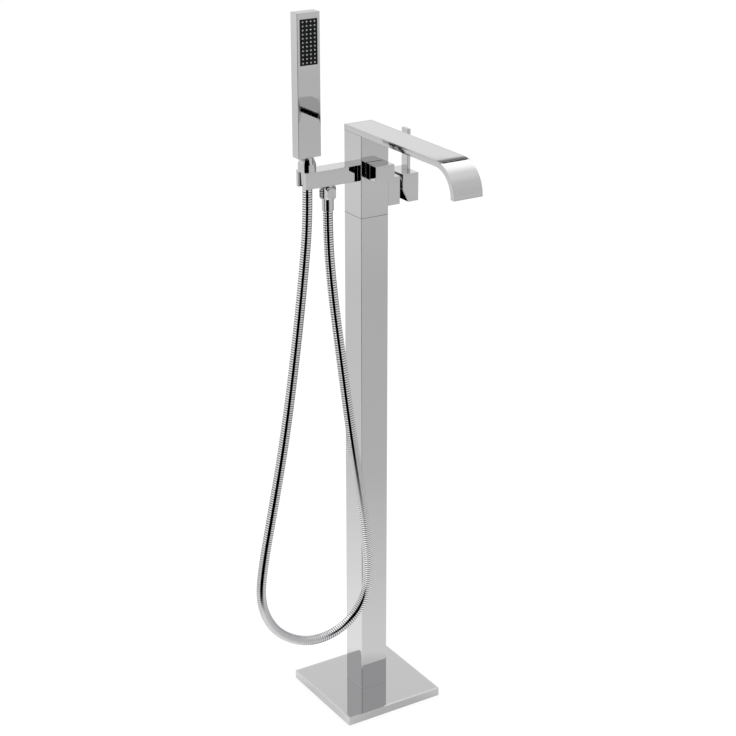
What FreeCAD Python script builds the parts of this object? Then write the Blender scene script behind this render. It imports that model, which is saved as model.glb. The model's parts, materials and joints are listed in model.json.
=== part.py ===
import FreeCAD, Part
import math
import os

# Floor standing bath filler, millimetres. Z is up and z = 0 is the floor.
# The column stands on the origin, the spout points to -Y, the mixer lever is on
# the +X side and the hand shower hangs on the -X side.

V = FreeCAD.Vector
up = V(0, 0, 1)

# fits and clearances
thread_fit = 0.05       # radial, screwed and running fits
slip_fit = 0.3          # radial or per side, parts that slide together loosely
skin_gap = 0.2          # per side, flat parts that pass by each other
same_place = 0.01       # places nearer than this are the same
same_direction = 1e-6

# floor flange and cover
base_size = 160.0
flange_thick = 6.0
cover_thick = 6.5
cover_wall = 1.5
anchor_spacing = 120.0
anchor_hole_r = 4.5
anchor_sink_r = 8.2
supply_hole_gap = 0.6   # round the risers
base_edge = 0.6

# square column
column_size = 44.0
column_wall = 2.0
column_top = 760.0
column_edge = 0.8
spigot_wall = 3.0
spigot_top = 78.0
lock_screw_r = 2.5
lock_screw_length = 6.0
lock_screw_spread = 20.0
foot_screw_z = 44.0

# risers inside the column
riser_r = 6.0
riser_wall = 1.2
riser_gap = 0.7         # between the risers and the spigot's inside
riser_foot_z = 1.0
inlet_tail_length = 20.0
inlet_tail_wall = 1.0
riser_depth = 9.5
seal_thick = 1.5
spacer_thick = 12.0
spacer_heights = (250.0, 520.0)

# valve body
body_top = 876.0
neck_length = 20.0
supply_bore_r = 4.0
mixed_bore_r = 3.6
cross_bore_r = 3.4
bore_overrun = 1.5
mixed_turn_z = 800.0
mixed_rise_wall = 4.4   # between the rising bore and the body's back
seal_width = 1.2

# mixer: cartridge axis along X
mixer_z = 791.5
mixer_width = 19.1
mixer_height = 40.2
mixer_depth = 43.0
cartridge_r = 15.0
cartridge_x = 6.0
cartridge_length = 25.0
cartridge_base = 6.0
cartridge_neck_r = 11.0
cartridge_neck_length = 6.5
cartridge_neck_bore = 9.0
cavity_r = 10.6
port_r = 3.0
port_seal_r = 4.2
cartridge_port_r = 2.4
disc_port_r = 2.2
disc_pocket_r = 4.8
cartridge_lip = 1.0
port_drop = 5.5
ring_nut_r = 17.0
ring_nut_length = 5.5
ring_nut_slot = 2.0
dome_r = 16.6
dome_face_r = 14.1
dome_mouth_r = 12.8     # opens outwards, to clear the tilted stem
dome_length = 5.0
disc_thick = 3.0
pivot_x = 27.0
pivot_pin_r = 1.5
pivot_pin_inset = 2.0
stem_size = 8.0
stem_waist = 5.0
stem_root = 6.0
stem_root_back = 4.0
stem_shank_x = 42.0
stem_reach = 60.0
housing_screw_r = 2.0
housing_screw_head_r = 3.4
housing_screw_head = 4.0
housing_screw_length = 20.0
housing_screw_key_r = 1.6
housing_screw_key_floor = 1.5
housing_screw_y = 17.3
housing_screw_z = 15.2

# mixer handle and lever
handle_inner_x = 46.2
handle_outer_x = 71.7
handle_z0 = 772.2
handle_z1 = 812.5
handle_depth = 43.0
handle_cut_x = 9.1
handle_cut_z = 18.9
handle_edge = 0.7
lever_x = 62.4
lever_thick = 4.8
lever_width = 15.4
lever_top = 871.5
lever_edge = 0.4
lever_stud_r = 2.0
lever_stud_length = 9.0
grub_r = 2.0
handle_grub_x = 58.0
handle_grub_inset = 1.0
handle_grub_key = 2.5
temperature_swing = 45.0
flow_tilt = 25.0

# diverter: axis along Y, knob on the front
diverter_z = 827.4
diverter_r = 9.0
diverter_back = 8.0     # the chamber's end, behind the column's axis
diverter_wall = 2.6
gland_length = 4.0
spindle_r = 4.0
rotor_bore_r = 3.0
knob_width = 29.6
knob_height = 22.2
knob_depth = 24.9
knob_gap = 1.2
knob_edge = 0.7
knob_grub_inset = 0.8
knob_grub_key = 2.0
spindle_in_knob = 18.0

# spout
spout_thick = 8.0
spout_bend_y = -200.0
spout_bend_r = 43.5
cover_sheet = 1.5
spout_rim = 3.0
duct_floor = 3.0
lip_floor = 3.0
cover_reach = 15.0      # degrees round the bend
slot_reach = 17.0       # the slot that the water leaves by, ahead of the cover
spout_nipple_r = 8.0
spout_nipple_bore = 5.5
spout_nipple_sink = 10.0
spout_seal_r = 10.5
spout_screw_y = 15.5
spout_screw_r = 2.0
spout_screw_head_r = 3.6
spout_screw_length = 14.0
spout_screw_key = 1.5

# hand shower arm
arm_z0 = 811.0
arm_height = 22.8
arm_depth = 26.0
arm_end_x = -103.3
arm_edge = 0.5
arm_bore_r = 3.6
arm_water_z = 825.0
arm_nipple_r = 6.5
arm_nipple_bore = 4.0
arm_nipple_half = 9.0
arm_seal_r = 8.2
dowel_r = 1.5
dowel_half = 4.5
dowel_y = 10.0
holder_x = -94.0
holder_r = 10.5
holder_slot = 15.6
bush_wall = 1.2
cone_top_r = 8.9
cone_bottom_r = 7.9
cone_ease = 0.1         # the nut's cone seats a little inside these

# hose outlet under the arm
outlet_x = -62.0
outlet_thread_r = 7.0
outlet_thread_length = 8.5
outlet_collar_r = 8.8
outlet_collar = 2.8
outlet_male_r = 9.0
outlet_male_length = 9.0
outlet_bore = 5.6
check_wall = 1.1
cage_inset = 1.0
cage_floor = 1.2
cage_hole_r = 1.6
poppet_stem_r = 1.2
poppet_foot_gap = 0.4
poppet_nose_r = 2.0
poppet_head = 2.0
poppet_sink = 2.5       # its top, below the arm's underside
nut_flats = 22.6
nut_height = 17.0
nut_z = 791.0
nut_chamfer = 2.4
nut_chamfer_rise = 4.5
ferrule_r = 8.4
ferrule_foot_z = 774.0
ferrule_neck_r = 6.6
ferrule_flange_r = 8.4
ferrule_flange = 2.0
ferrule_gap = 0.5       # between the barrel and the nut
washer_thick = 1.6
washer_bore = 5.0

# hose
hose_r = 7.0
hose_root_r = 6.2
hose_bore_r = 4.6
hose_ribs = 200
liner_r = 4.3
liner_bore = 3.3
hose_bore = 4.0
hand_ferrule_r = 6.9
hand_ferrule_z = 808.0
hand_ferrule_rise = 2.0
hand_flange_rise = 1.0
turn_share = 0.45
rib_profile = [(0.0, hose_root_r), (0.2, hose_r), (0.7, hose_r), (0.9, hose_root_r)]

# conical nut and handset
nut_r = 12.6
nut_straight = 10.4
nut_cone = 8.0
nut_lip = 0.6
nut_foot_rise = 4.0
neck_r = 8.5
neck_bore = 5.0
neck_thread = 14.4
neck_reveal = 1.0
neck_tail_r = 6.5
neck_tail_z = 865.5
feed_foot_z = 859.5
handset_z0 = 853.5
handset_z1 = 1047.5
handset_width = 35.0
handset_depth = 17.0
handset_wall = 1.8
handset_edge = 1.0
pad_width = 26.2
pad_z0 = 978.5
pad_z1 = 1039.0
pad_lap = 1.5
pad_corner = 0.8
pad_columns = 4
pad_rows = 11
nozzle_pitch_x = 6.0
nozzle_pitch_z = 5.4
nozzle_r = 1.0
nozzle_proud = 0.7
nozzle_bore_r = 0.4
mat_thick = 1.2
tray_depth = 9.0
tray_wall = 1.2
feed_r = 4.0
feed_neck_r = 3.0
feed_bore = 2.0
feed_step_z = 883.5

# The hose's route: from the hand shower's ferrule down, round and up to the
# ferrule under the arm, passing in front of the column.
hose_route = [
    (-94, 0, 808), (-94, 0, 762), (-101, -1, 690), (-117, -4, 575),
    (-139, -7, 449), (-162, -9, 344), (-180, -12, 270), (-190, -15, 215),
    (-178, -18, 171), (-151, -21, 140), (-113, -25, 123), (-72, -28, 127),
    (-39, -31, 150), (-21, -34, 186), (-20, -37, 232), (-25, -40, 292),
    (-35, -42, 364), (-50, -42, 460), (-60, -31, 560), (-63, -13, 655),
    (-62, 0, 728), (-62, 0, 774),
]

# worked out from the sizes above
base_top = flange_thick + cover_thick
half = column_size / 2
inner_half = half - column_wall
neck_half = inner_half - slip_fit
neck_foot = column_top - neck_length
riser_y = neck_half - spigot_wall - riser_r - riser_gap
supply_hole_r = riser_y + riser_r + supply_hole_gap
mixed_rise_y = half - mixed_rise_wall - mixed_bore_r
socket_top = neck_foot + riser_depth
spout_top = body_top + spout_thick
spout_bend_z = spout_top - spout_bend_r
arm_half = arm_depth / 2
arm_z = arm_z0 + arm_height / 2
arm_top = arm_z0 + arm_height
mixer_face = half + mixer_width
mixer_half = mixer_height / 2
shoulder_x = cartridge_x + cartridge_length
outlet_collar_z = arm_z0 - outlet_collar
outlet_foot_z = outlet_collar_z - outlet_male_length
washer_z = outlet_foot_z - washer_thick
nut_top = nut_z + nut_height
hand_flange_z = arm_top + hand_flange_rise
neck_foot_z = handset_z0 - neck_reveal - neck_thread
handset_half = handset_depth / 2
pad_z = (pad_z0 + pad_z1) / 2


def box(x0, x1, y0, y1, z0, z1):
    return Part.makeBox(x1 - x0, y1 - y0, z1 - z0, V(x0, y0, z0))


def block(width, depth, z0, z1, x=0.0, y=0.0):
    return box(x - width / 2, x + width / 2, y - depth / 2, y + depth / 2, z0, z1)


def rod_x(r, x0, x1, y, z):
    return Part.makeCylinder(r, x1 - x0, V(x0, y, z), V(1, 0, 0))


def rod_y(r, y0, y1, x, z):
    return Part.makeCylinder(r, y1 - y0, V(x, y0, z), V(0, 1, 0))


def rod_z(r, z0, z1, x=0.0, y=0.0):
    return Part.makeCylinder(r, z1 - z0, V(x, y, z0), up)


def cone_x(r0, r1, x0, x1, y, z):
    return Part.makeCone(r0, r1, x1 - x0, V(x0, y, z), V(1, 0, 0))


def cone_z(r0, r1, z0, z1, x=0.0, y=0.0):
    return Part.makeCone(r0, r1, z1 - z0, V(x, y, z0), up)


def tube_z(r, bore, z0, z1, x=0.0, y=0.0):
    return rod_z(r, z0, z1, x, y).cut(rod_z(bore, z0, z1, x, y))


def soften(solid, radius, direction):
    edges = [e for e in solid.Edges if is_along(e, direction)]
    return solid.makeFillet(radius, edges) if edges else solid


def is_along(edge, direction):
    if not isinstance(edge.Curve, Part.Line):
        return False
    return abs(abs(edge.Curve.Direction.dot(direction)) - 1) < same_direction


def turned(points, centre_x, centre_y):
    # points are (radius, height) pairs of a closed outline, turned about Z
    outline = [V(centre_x + r, centre_y, z) for r, z in points]
    face = Part.Face(Part.makePolygon(outline + outline[:1]))
    return face.revolve(V(centre_x, centre_y, 0), up, 360)


def group(solids):
    return Part.makeCompound(solids)


def write(name, shape):
    shape.exportStep("parts/" + name + ".step")


def corners(spread_x, spread_y):
    return [(x, y) for x in (-spread_x, spread_x) for y in (-spread_y, spread_y)]


# --- floor flange, cover and column ---

def floor_flange():
    plate = block(base_size, base_size, 0, flange_thick)
    plate = soften(plate, base_edge, up)
    plate = plate.cut(rod_z(supply_hole_r, 0, flange_thick))
    for x, y in corners(anchor_spacing / 2, anchor_spacing / 2):
        plate = plate.cut(rod_z(anchor_hole_r, 0, flange_thick, x, y))
        sink = anchor_sink_r - anchor_hole_r
        plate = plate.cut(cone_z(anchor_hole_r, anchor_sink_r, flange_thick - sink,
                                 flange_thick, x, y))
    return plate


def base_cover():
    plate = block(base_size, base_size, flange_thick, base_top)
    plate = soften(plate, base_edge, up)
    pocket = base_size - 2 * cover_wall
    plate = plate.cut(block(pocket, pocket, flange_thick, base_top - cover_wall))
    hole = column_size + 2 * skin_gap
    return plate.cut(block(hole, hole, flange_thick, base_top))


def foot_spigot():
    outer = 2 * neck_half
    inner = outer - 2 * spigot_wall
    tube = block(outer, outer, flange_thick, spigot_top)
    tube = tube.cut(block(inner, inner, flange_thick, spigot_top))
    for x in (-lock_screw_spread / 2, lock_screw_spread / 2):
        tube = tube.cut(rod_y(lock_screw_r + thread_fit, 0, half, x, foot_screw_z))
    return tube


def column_tube():
    tube = block(column_size, column_size, flange_thick, column_top)
    tube = soften(tube, column_edge, up)
    tube = tube.cut(block(2 * inner_half, 2 * inner_half, flange_thick, column_top))
    for x in (-lock_screw_spread / 2, lock_screw_spread / 2):
        for z in (foot_screw_z, column_top - neck_length / 2):
            tube = tube.cut(rod_y(lock_screw_r + thread_fit, 0, half, x, z))
    return tube


def lock_screws(z):
    screws = []
    for x in (-lock_screw_spread / 2, lock_screw_spread / 2):
        screw = rod_y(lock_screw_r, half - lock_screw_length, half - skin_gap, x, z)
        key = Part.makeCylinder(lock_screw_r / 2, column_wall, V(x, half, z), V(0, -1, 0))
        screws.append(screw.cut(key))
    return group(screws)


def riser(y):
    return tube_z(riser_r, riser_r - riser_wall, riser_foot_z + inlet_tail_length,
                  socket_top - seal_thick, 0, y)


def inlet_tails():
    bore = riser_r - inlet_tail_wall
    return group([tube_z(riser_r, bore, riser_foot_z, riser_foot_z + inlet_tail_length, 0, y)
                  for y in (-riser_y, riser_y)])


def riser_seals():
    bore = riser_r - riser_wall
    return group([tube_z(riser_r, bore, socket_top - seal_thick, socket_top, 0, y)
                  for y in (-riser_y, riser_y)])


def riser_spacers():
    spacers = []
    for z in spacer_heights:
        width = 2 * (inner_half - skin_gap)
        spacer = block(width, width, z, z + spacer_thick)
        for y in (-riser_y, riser_y):
            spacer = spacer.cut(rod_z(riser_r + thread_fit, z, z + spacer_thick, 0, y))
        spacers.append(spacer)
    return group(spacers)


# --- valve body with its waterways ---

def valve_body():
    body = block(column_size, column_size, column_top, body_top)
    body = soften(body, column_edge, up)
    body = body.fuse(block(2 * neck_half, 2 * neck_half, neck_foot, column_top))
    bores = supply_bores() + mixed_bores() + outlet_bores() + screw_bores()
    bores.append(rod_x(cartridge_r + thread_fit, cartridge_x, half, 0, mixer_z))
    bores.append(rod_y(diverter_r + thread_fit, -half, diverter_back, 0, diverter_z))
    return body.cut(bores)


def supply_bores():
    bores = []
    for y in (-riser_y, riser_y):
        bores.append(rod_z(riser_r + thread_fit, neck_foot, socket_top, 0, y))
        bores.append(rod_z(supply_bore_r, socket_top, mixer_z - port_drop + bore_overrun,
                           0, y))
    for y, z in ports():
        bores.append(rod_x(port_r, 0, cartridge_x, y, z))
        bores.append(rod_x(port_seal_r + thread_fit, cartridge_x - seal_width,
                           cartridge_x, y, z))
    return bores


def mixed_bores():
    # the mixed water rises behind the diverter and enters it from the back
    over = bore_overrun
    return [
        rod_z(mixed_bore_r, mixer_z - over, mixed_turn_z + over),
        rod_y(cross_bore_r, -over, mixed_rise_y + over, 0, mixed_turn_z),
        rod_z(mixed_bore_r, mixed_turn_z - over, diverter_z + over, 0, mixed_rise_y),
        rod_y(cross_bore_r, diverter_back, mixed_rise_y + over, 0, diverter_z),
    ]


def outlet_bores():
    return [
        rod_z(mixed_bore_r, diverter_z, body_top),
        rod_z(spout_nipple_r + thread_fit, body_top - spout_nipple_sink, body_top),
        rod_z(spout_seal_r + thread_fit, body_top - seal_width, body_top),
        rod_x(arm_bore_r, -half, 0, 0, arm_water_z),
        rod_x(arm_nipple_r + thread_fit, -half, -half + arm_nipple_half, 0, arm_water_z),
        rod_x(arm_seal_r + thread_fit, -half, -half + seal_width, 0, arm_water_z),
    ]


def screw_bores():
    bores = []
    for x in (-lock_screw_spread / 2, lock_screw_spread / 2):
        bores.append(rod_y(lock_screw_r + thread_fit, half - lock_screw_length, half, x,
                           column_top - neck_length / 2))
    depth = housing_screw_length - (mixer_width - housing_screw_head)
    for y, z in corners(housing_screw_y, housing_screw_z):
        bores.append(rod_x(housing_screw_r + thread_fit, half - depth, half, y,
                           mixer_z + z))
    for y in (-spout_screw_y, spout_screw_y):
        bores.append(rod_z(spout_screw_r + thread_fit, spout_screw_foot(), body_top, 0, y))
    for y in (-dowel_y, dowel_y):
        bores.append(rod_x(dowel_r + thread_fit, -half, -half + dowel_half, y, arm_z))
    return bores


def ports():
    # hot, cold and mixed ports as (y, z) in the cartridge's inner face
    side = cavity_r - port_r
    low = mixer_z - port_drop
    return [(-side, low), (side, low), (0, mixer_z)]


def port_seals():
    return group([rod_x(port_seal_r, cartridge_x - seal_width, cartridge_x, y, z).cut(
        rod_x(port_r, cartridge_x - seal_width, cartridge_x, y, z)) for y, z in ports()])


def mixer_housing():
    shell = box(half, mixer_face, -mixer_depth / 2, mixer_depth / 2,
                mixer_z - mixer_half, mixer_z + mixer_half)
    shell = soften(shell, handle_edge, V(1, 0, 0))
    shell = shell.cut(rod_x(cartridge_r + thread_fit, half, shoulder_x, 0, mixer_z))
    shell = shell.cut(rod_x(ring_nut_r + thread_fit, shoulder_x, mixer_face, 0, mixer_z))
    for y, z in corners(housing_screw_y, housing_screw_z):
        head_x = mixer_face - housing_screw_head
        shell = shell.cut(rod_x(housing_screw_r + thread_fit, half, head_x, y,
                                mixer_z + z))
        shell = shell.cut(rod_x(housing_screw_head_r + thread_fit, head_x, mixer_face, y,
                                mixer_z + z))
    return shell


def housing_screws():
    screws = []
    for y, z in corners(housing_screw_y, housing_screw_z):
        head_x = mixer_face - housing_screw_head
        tip_x = head_x - housing_screw_length
        screw = rod_x(housing_screw_r, tip_x, head_x, y, mixer_z + z)
        screw = screw.fuse(rod_x(housing_screw_head_r, head_x, mixer_face - skin_gap, y,
                                 mixer_z + z))
        socket = rod_x(housing_screw_key_r, head_x + housing_screw_key_floor, mixer_face,
                       y, mixer_z + z)
        screws.append(screw.cut(socket))
    return group(screws)


def cartridge_body():
    shell = rod_x(cartridge_r, cartridge_x, shoulder_x, 0, mixer_z)
    shell = shell.fuse(rod_x(cartridge_neck_r, shoulder_x,
                             shoulder_x + cartridge_neck_length, 0, mixer_z))
    cavity_x = cartridge_x + cartridge_base
    shell = shell.cut(rod_x(cavity_r, cavity_x, shoulder_x - cartridge_lip, 0, mixer_z))
    shell = shell.cut(rod_x(cartridge_neck_bore, cavity_x,
                            shoulder_x + cartridge_neck_length, 0, mixer_z))
    for y, z in ports():
        shell = shell.cut(rod_x(cartridge_port_r, cartridge_x, cavity_x, y, z))
    return shell


def fixed_disc():
    x0 = cartridge_x + cartridge_base
    disc = rod_x(cavity_r - thread_fit, x0, x0 + disc_thick, 0, mixer_z)
    for y, z in ports():
        disc = disc.cut(rod_x(disc_port_r, x0, x0 + disc_thick, y, z))
    return disc


def moving_disc():
    x0 = cartridge_x + cartridge_base + disc_thick
    disc = rod_x(cavity_r - slip_fit, x0, x0 + disc_thick, 0, mixer_z)
    return disc.cut(rod_x(disc_pocket_r, x0, x0 + disc_thick / 2, 0, mixer_z - port_r))


def cartridge_rotor():
    x0 = cartridge_x + cartridge_base + 2 * disc_thick
    x1 = shoulder_x - cartridge_lip - skin_gap
    rotor = rod_x(cavity_r - slip_fit, x0, x1, 0, mixer_z)
    slot_half = stem_waist / 2 + slip_fit
    rotor = rotor.cut(box(x0 + disc_thick, x1, -slot_half, slot_half,
                          mixer_z - cavity_r, mixer_z + cavity_r))
    return rotor.cut(rod_y(pivot_pin_r, -cavity_r, cavity_r, pivot_x, mixer_z))


def pivot_pin():
    reach = cavity_r - pivot_pin_inset
    return rod_y(pivot_pin_r, -reach, reach, pivot_x, mixer_z)


def ring_nut():
    x1 = shoulder_x + ring_nut_length
    nut = rod_x(ring_nut_r, shoulder_x, x1, 0, mixer_z)
    nut = nut.cut(rod_x(cartridge_neck_r + thread_fit, shoulder_x, x1, 0, mixer_z))
    slot = stem_waist / 2
    return nut.cut(box(x1 - ring_nut_slot, x1, -slot, slot, mixer_z - ring_nut_r,
                       mixer_z + ring_nut_r))


def dome_ring():
    x0 = shoulder_x + ring_nut_length
    x1 = x0 + dome_length
    ring = cone_x(dome_r, dome_face_r, x0, x1, 0, mixer_z)
    return ring.cut(cone_x(cartridge_neck_r + slip_fit, dome_mouth_r, x0, x1, 0, mixer_z))


def mixer_stem():
    side = stem_size / 2
    waist = stem_waist / 2
    root = box(pivot_x - stem_root_back, stem_shank_x, -waist, waist,
               mixer_z - stem_root / 2, mixer_z + stem_root / 2)
    shank = box(stem_shank_x, stem_reach, -side, side, mixer_z - side, mixer_z + side)
    stem = root.fuse(shank)
    return stem.cut(rod_y(pivot_pin_r + thread_fit, -side, side, pivot_x, mixer_z))


def handle_block():
    outline = [
        V(handle_inner_x, 0, handle_z1), V(handle_outer_x, 0, handle_z1),
        V(handle_outer_x, 0, handle_z0), V(handle_inner_x + handle_cut_x, 0, handle_z0),
        V(handle_inner_x, 0, handle_z0 + handle_cut_z),
    ]
    face = Part.Face(Part.makePolygon(outline + outline[:1]))
    face.translate(V(0, -handle_depth / 2, 0))
    solid = face.extrude(V(0, handle_depth, 0))
    solid = solid.makeFillet(handle_edge, outer_handle_edges(solid))
    side = stem_size / 2 + thread_fit
    solid = solid.cut(box(handle_inner_x, stem_reach + skin_gap, -side, side,
                          mixer_z - side, mixer_z + side))
    solid = solid.cut(rod_z(grub_r + thread_fit, handle_z0, mixer_z, handle_grub_x, 0))
    return solid.cut(rod_z(lever_stud_r + thread_fit, handle_z1 - lever_stud_length,
                           handle_z1, lever_x + lever_thick / 2, 0))


def outer_handle_edges(solid):
    picked = []
    for edge in solid.Edges:
        middle = edge.BoundBox.Center
        outside = abs(middle.x - handle_outer_x) < same_place
        if outside and min(abs(middle.z - z) for z in (handle_z0, handle_z1)) < same_place:
            picked.append(edge)
    return picked


def handle_grub_screw():
    foot = handle_z0 + handle_grub_inset
    screw = rod_z(grub_r, foot, mixer_z - stem_size / 2, handle_grub_x, 0)
    return screw.cut(rod_z(grub_r / 2, foot, foot + handle_grub_key, handle_grub_x, 0))


def lever_bar():
    bar = box(lever_x, lever_x + lever_thick, -lever_width / 2, lever_width / 2,
              handle_z1, lever_top)
    bar = soften(bar, lever_edge, up)
    stud = rod_z(lever_stud_r, handle_z1 - lever_stud_length + skin_gap, handle_z1,
                 lever_x + lever_thick / 2, 0)
    return bar.fuse(stud)


# --- diverter ---

def diverter_sleeve():
    y0 = -half + gland_length
    sleeve = rod_y(diverter_r, y0, diverter_back, 0, diverter_z)
    sleeve = sleeve.cut(rod_y(diverter_r - diverter_wall, y0,
                              diverter_back - diverter_wall, 0, diverter_z))
    sleeve = sleeve.cut(rod_y(mixed_bore_r, 0, diverter_back, 0, diverter_z))
    sleeve = sleeve.cut(rod_z(mixed_bore_r, diverter_z, diverter_z + diverter_r))
    return sleeve.cut(rod_x(arm_bore_r, -half, 0, 0, arm_water_z))


def diverter_spindle():
    core_r = diverter_r - diverter_wall - thread_fit
    y0 = -half + gland_length + seal_width
    y1 = diverter_back - diverter_wall - skin_gap
    core = rod_y(core_r, y0, y1, 0, diverter_z)
    core = core.cut(rod_y(rotor_bore_r, -rotor_bore_r, y1, 0, diverter_z))
    core = core.cut(rod_z(rotor_bore_r, diverter_z, diverter_z + diverter_r))
    stem_end = -half - knob_gap - spindle_in_knob
    return core.fuse(rod_y(spindle_r, stem_end, y0, 0, diverter_z))


def gland_seal():
    y0 = -half + gland_length
    r = diverter_r - diverter_wall - thread_fit
    ring = rod_y(r, y0, y0 + seal_width, 0, diverter_z)
    return ring.cut(rod_y(spindle_r + thread_fit, y0, y0 + seal_width, 0, diverter_z))


def diverter_gland():
    ring = rod_y(diverter_r, -half, -half + gland_length, 0, diverter_z)
    return ring.cut(rod_y(spindle_r + thread_fit, -half, -half + gland_length, 0,
                          diverter_z))


def diverter_knob():
    back = -half - knob_gap
    knob = box(-knob_width / 2, knob_width / 2, back - knob_depth, back,
               diverter_z - knob_height / 2, diverter_z + knob_height / 2)
    knob = soften(knob, knob_edge, V(0, 1, 0))
    knob = knob.cut(rod_y(spindle_r + thread_fit, back - spindle_in_knob - skin_gap, back,
                          0, diverter_z))
    return knob.cut(rod_z(grub_r + thread_fit, diverter_z - knob_height / 2, diverter_z,
                          0, back - spindle_in_knob / 2))


def knob_grub_screw():
    foot = diverter_z - knob_height / 2 + knob_grub_inset
    y = -half - knob_gap - spindle_in_knob / 2
    screw = rod_z(grub_r, foot, diverter_z - spindle_r, 0, y)
    return screw.cut(rod_z(grub_r / 2, foot, foot + knob_grub_key, 0, y))


# --- spout ---

def spout_outline(inset_top, inset_bottom, start_y, end_angle):
    # closed outline of the flat bar and its bend, seen along X; the bend runs from
    # the top of the arc, angle 0, to end_angle in degrees
    outer = spout_bend_r - inset_top
    inner = spout_bend_r - spout_thick + inset_bottom
    centre = V(0, spout_bend_y, spout_bend_z)

    def at(radius, angle):
        a = math.radians(angle)
        return centre + V(0, -radius * math.sin(a), radius * math.cos(a))

    edges = [
        Part.Arc(at(outer, 0), at(outer, end_angle / 2), at(outer, end_angle)),
        Part.LineSegment(at(outer, end_angle), at(inner, end_angle)),
        Part.Arc(at(inner, end_angle), at(inner, end_angle / 2), at(inner, 0)),
    ]
    if start_y > spout_bend_y:
        inner_start = V(0, start_y, spout_bend_z + inner)
        outer_start = V(0, start_y, spout_bend_z + outer)
        edges.append(Part.LineSegment(at(inner, 0), inner_start))
        edges.append(Part.LineSegment(inner_start, outer_start))
        edges.append(Part.LineSegment(outer_start, at(outer, 0)))
    else:
        edges.append(Part.LineSegment(at(inner, 0), at(outer, 0)))
    return Part.Face(Part.Wire([e.toShape() for e in edges]))


def extrude_across(face, width):
    face.translate(V(-width / 2, 0, 0))
    return face.extrude(V(width, 0, 0))


def spout_channel():
    bar = extrude_across(spout_outline(0, 0, half, 90), column_size)
    lid = extrude_across(spout_outline(0, spout_thick - cover_sheet, half, cover_reach),
                         column_size)
    bar = bar.cut(lid)
    inside = column_size - 2 * spout_rim
    bar = bar.cut(box(-inside / 2, inside / 2, spout_bend_y, half - spout_rim,
                      body_top + duct_floor, spout_top))
    slot = extrude_across(spout_outline(0, lip_floor, spout_bend_y, slot_reach), inside)
    bar = bar.cut(slot)
    bar = bar.cut(rod_z(spout_nipple_r + thread_fit, body_top, spout_top))
    for y in (-spout_screw_y, spout_screw_y):
        bar = bar.cut(rod_z(spout_screw_r + thread_fit, body_top, spout_top, 0, y))
        bar = bar.cut(cone_z(spout_screw_r + thread_fit, spout_screw_head_r + thread_fit,
                             spout_head_foot(), body_top + duct_floor, 0, y))
    return bar


def spout_head_foot():
    return body_top + duct_floor - (spout_screw_head_r - spout_screw_r)


def spout_screw_foot():
    return body_top + duct_floor - spout_screw_length


def spout_screws():
    screws = []
    for y in (-spout_screw_y, spout_screw_y):
        foot = spout_screw_foot()
        shank = rod_z(spout_screw_r, foot, spout_head_foot(), 0, y)
        head = cone_z(spout_screw_r, spout_screw_head_r, spout_head_foot(),
                      body_top + duct_floor, 0, y)
        top = body_top + duct_floor
        key = rod_z(spout_screw_r / 2, top - spout_screw_key, top, 0, y)
        screws.append(shank.fuse(head).cut(key))
    return group(screws)


def spout_cover():
    return extrude_across(spout_outline(0, spout_thick - cover_sheet, half, cover_reach),
                          column_size)


def spout_seal():
    return tube_z(spout_seal_r, spout_nipple_r + thread_fit, body_top - seal_width,
                  body_top)


def spout_nipple():
    foot = body_top - spout_nipple_sink
    return tube_z(spout_nipple_r, spout_nipple_bore, foot, body_top + duct_floor)


# --- hand shower arm and holder ---

def shower_arm():
    bar = box(arm_end_x, -half, -arm_half, arm_half, arm_z0, arm_top)
    bar = soften(bar, arm_edge, V(1, 0, 0))
    bar = bar.cut(rod_x(arm_bore_r, outlet_x, -half, 0, arm_water_z))
    bar = bar.cut(rod_x(arm_nipple_r + thread_fit, -half - arm_nipple_half, -half, 0,
                        arm_water_z))
    for y in (-dowel_y, dowel_y):
        bar = bar.cut(rod_x(dowel_r + thread_fit, -half - dowel_half, -half, y, arm_z))
    bar = bar.cut(rod_z(outlet_thread_r + thread_fit, arm_z0,
                        arm_z0 + outlet_thread_length, outlet_x))
    bar = bar.cut(rod_z(arm_bore_r, arm_z0, arm_water_z, outlet_x))
    bar = bar.cut(rod_z(holder_r, arm_z0, arm_top, holder_x))
    return bar.cut(box(arm_end_x, holder_x, -holder_slot / 2, holder_slot / 2, arm_z0,
                       arm_top))


def holder_bush():
    bush = rod_z(holder_r - thread_fit, arm_z0, arm_top, holder_x)
    top_bore = cone_top_r + slip_fit
    foot_bore = cone_bottom_r + slip_fit
    bush = bush.cut(cone_z(foot_bore, top_bore, arm_z0, arm_top, holder_x))
    slot = holder_slot / 2
    return bush.cut(box(holder_x - 2 * holder_r, holder_x, -slot, slot, arm_z0, arm_top))


def arm_nipple():
    x0 = -half - arm_nipple_half
    x1 = -half + arm_nipple_half
    nipple = rod_x(arm_nipple_r, x0, x1, 0, arm_water_z)
    return nipple.cut(rod_x(arm_nipple_bore, x0, x1, 0, arm_water_z))


def arm_seal():
    ring = rod_x(arm_seal_r, -half, -half + seal_width, 0, arm_water_z)
    return ring.cut(rod_x(arm_nipple_r + thread_fit, -half, -half + seal_width, 0,
                          arm_water_z))


def arm_dowels():
    return group([rod_x(dowel_r, -half - dowel_half, -half + dowel_half, y, arm_z)
                  for y in (-dowel_y, dowel_y)])


# --- hose outlet ---

def outlet_nipple():
    thread = rod_z(outlet_thread_r, arm_z0, arm_z0 + outlet_thread_length - skin_gap,
                   outlet_x)
    collar = rod_z(outlet_collar_r, outlet_collar_z, arm_z0, outlet_x)
    male = rod_z(outlet_male_r, outlet_foot_z, outlet_collar_z, outlet_x)
    nipple = thread.fuse([collar, male])
    nipple = nipple.cut(rod_z(arm_bore_r, outlet_foot_z, arm_z, outlet_x))
    return nipple.cut(rod_z(outlet_bore, outlet_foot_z, arm_z0, outlet_x))


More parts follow.
